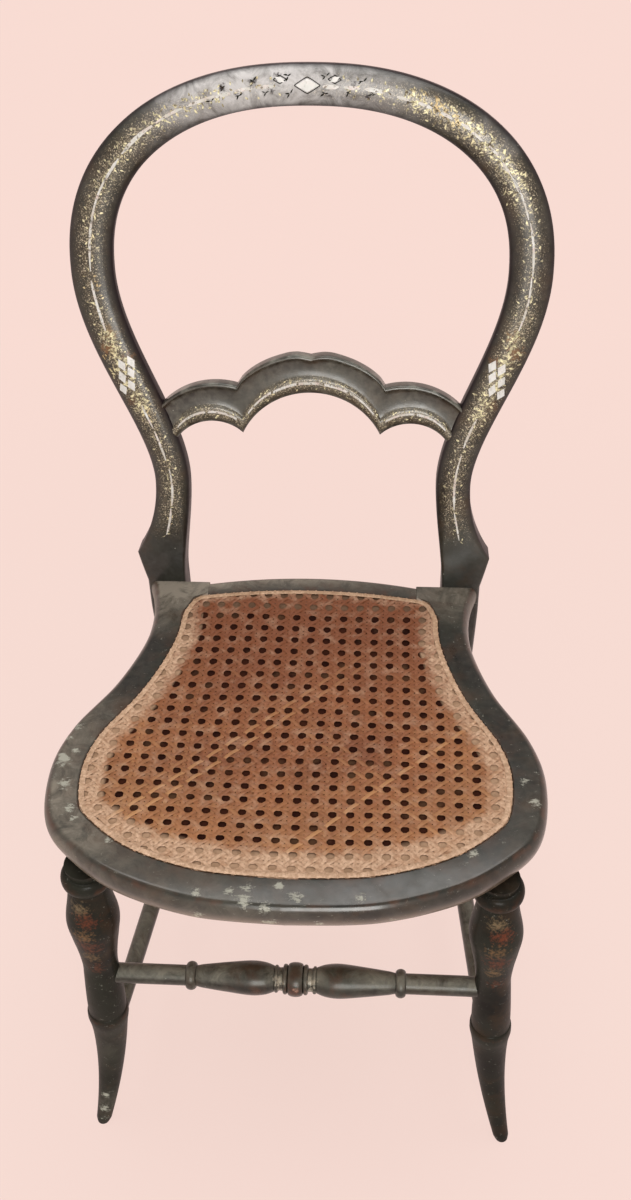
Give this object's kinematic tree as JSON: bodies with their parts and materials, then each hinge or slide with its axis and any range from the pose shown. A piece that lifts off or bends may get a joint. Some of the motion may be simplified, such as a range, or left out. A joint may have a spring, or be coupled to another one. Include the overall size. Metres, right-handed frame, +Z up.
{
  "type": "balloon back chair",
  "caption": "Ebonised balloon back side chair with a shaped cross rail, a caned seat, turned front legs with curved feet, stretchers and pearl inlay.",
  "frame": {"origin": "on the floor under the centre of the chair's bounding box", "axes": "+Z up; the front of the seat faces -Y; +X is to the right as seen from the front"},
  "size_m": [0.433, 0.502, 0.9058],
  "materials": {
    "ebonised_wood": "black lacquer over beech, semi-gloss, rubbed and chipped at the edges",
    "bare_beech": "bare wood, hidden in the joints",
    "woven_cane": "six-way hand-woven cane, orange-brown with age, paler near its edge",
    "binding_cane": "flat cane strip, smooth and pale",
    "pearl": "mother-of-pearl slips, smooth, iridescent"
  },
  "bodies": {
    "root": {"left_stile": "ebonised_wood", "right_stile": "ebonised_wood", "crest_rail": "ebonised_wood", "cross_rail": "ebonised_wood", "front_seat_rail": "ebonised_wood", "left_seat_rail": "ebonised_wood", "right_seat_rail": "ebonised_wood", "rear_seat_rail": "ebonised_wood", "left_front_leg": "ebonised_wood", "right_front_leg": "ebonised_wood", "front_stretcher": "ebonised_wood", "left_side_stretcher": "ebonised_wood", "right_side_stretcher": "ebonised_wood", "rear_stretcher": "ebonised_wood", "crest_dowels": "bare_beech", "seat_corner_dowels": "bare_beech", "stile_dowels": "bare_beech", "cane_pegs": "bare_beech", "cane_panel": "woven_cane", "cane_binder": "binding_cane", "crest_pearl_line": "pearl", "left_pearl_line": "pearl", "right_pearl_line": "pearl", "cross_rail_pearl_line": "pearl", "crest_pearl_diamonds": "pearl", "left_pearl_diamonds": "pearl", "right_pearl_diamonds": "pearl"}
  },
  "joints": []
}
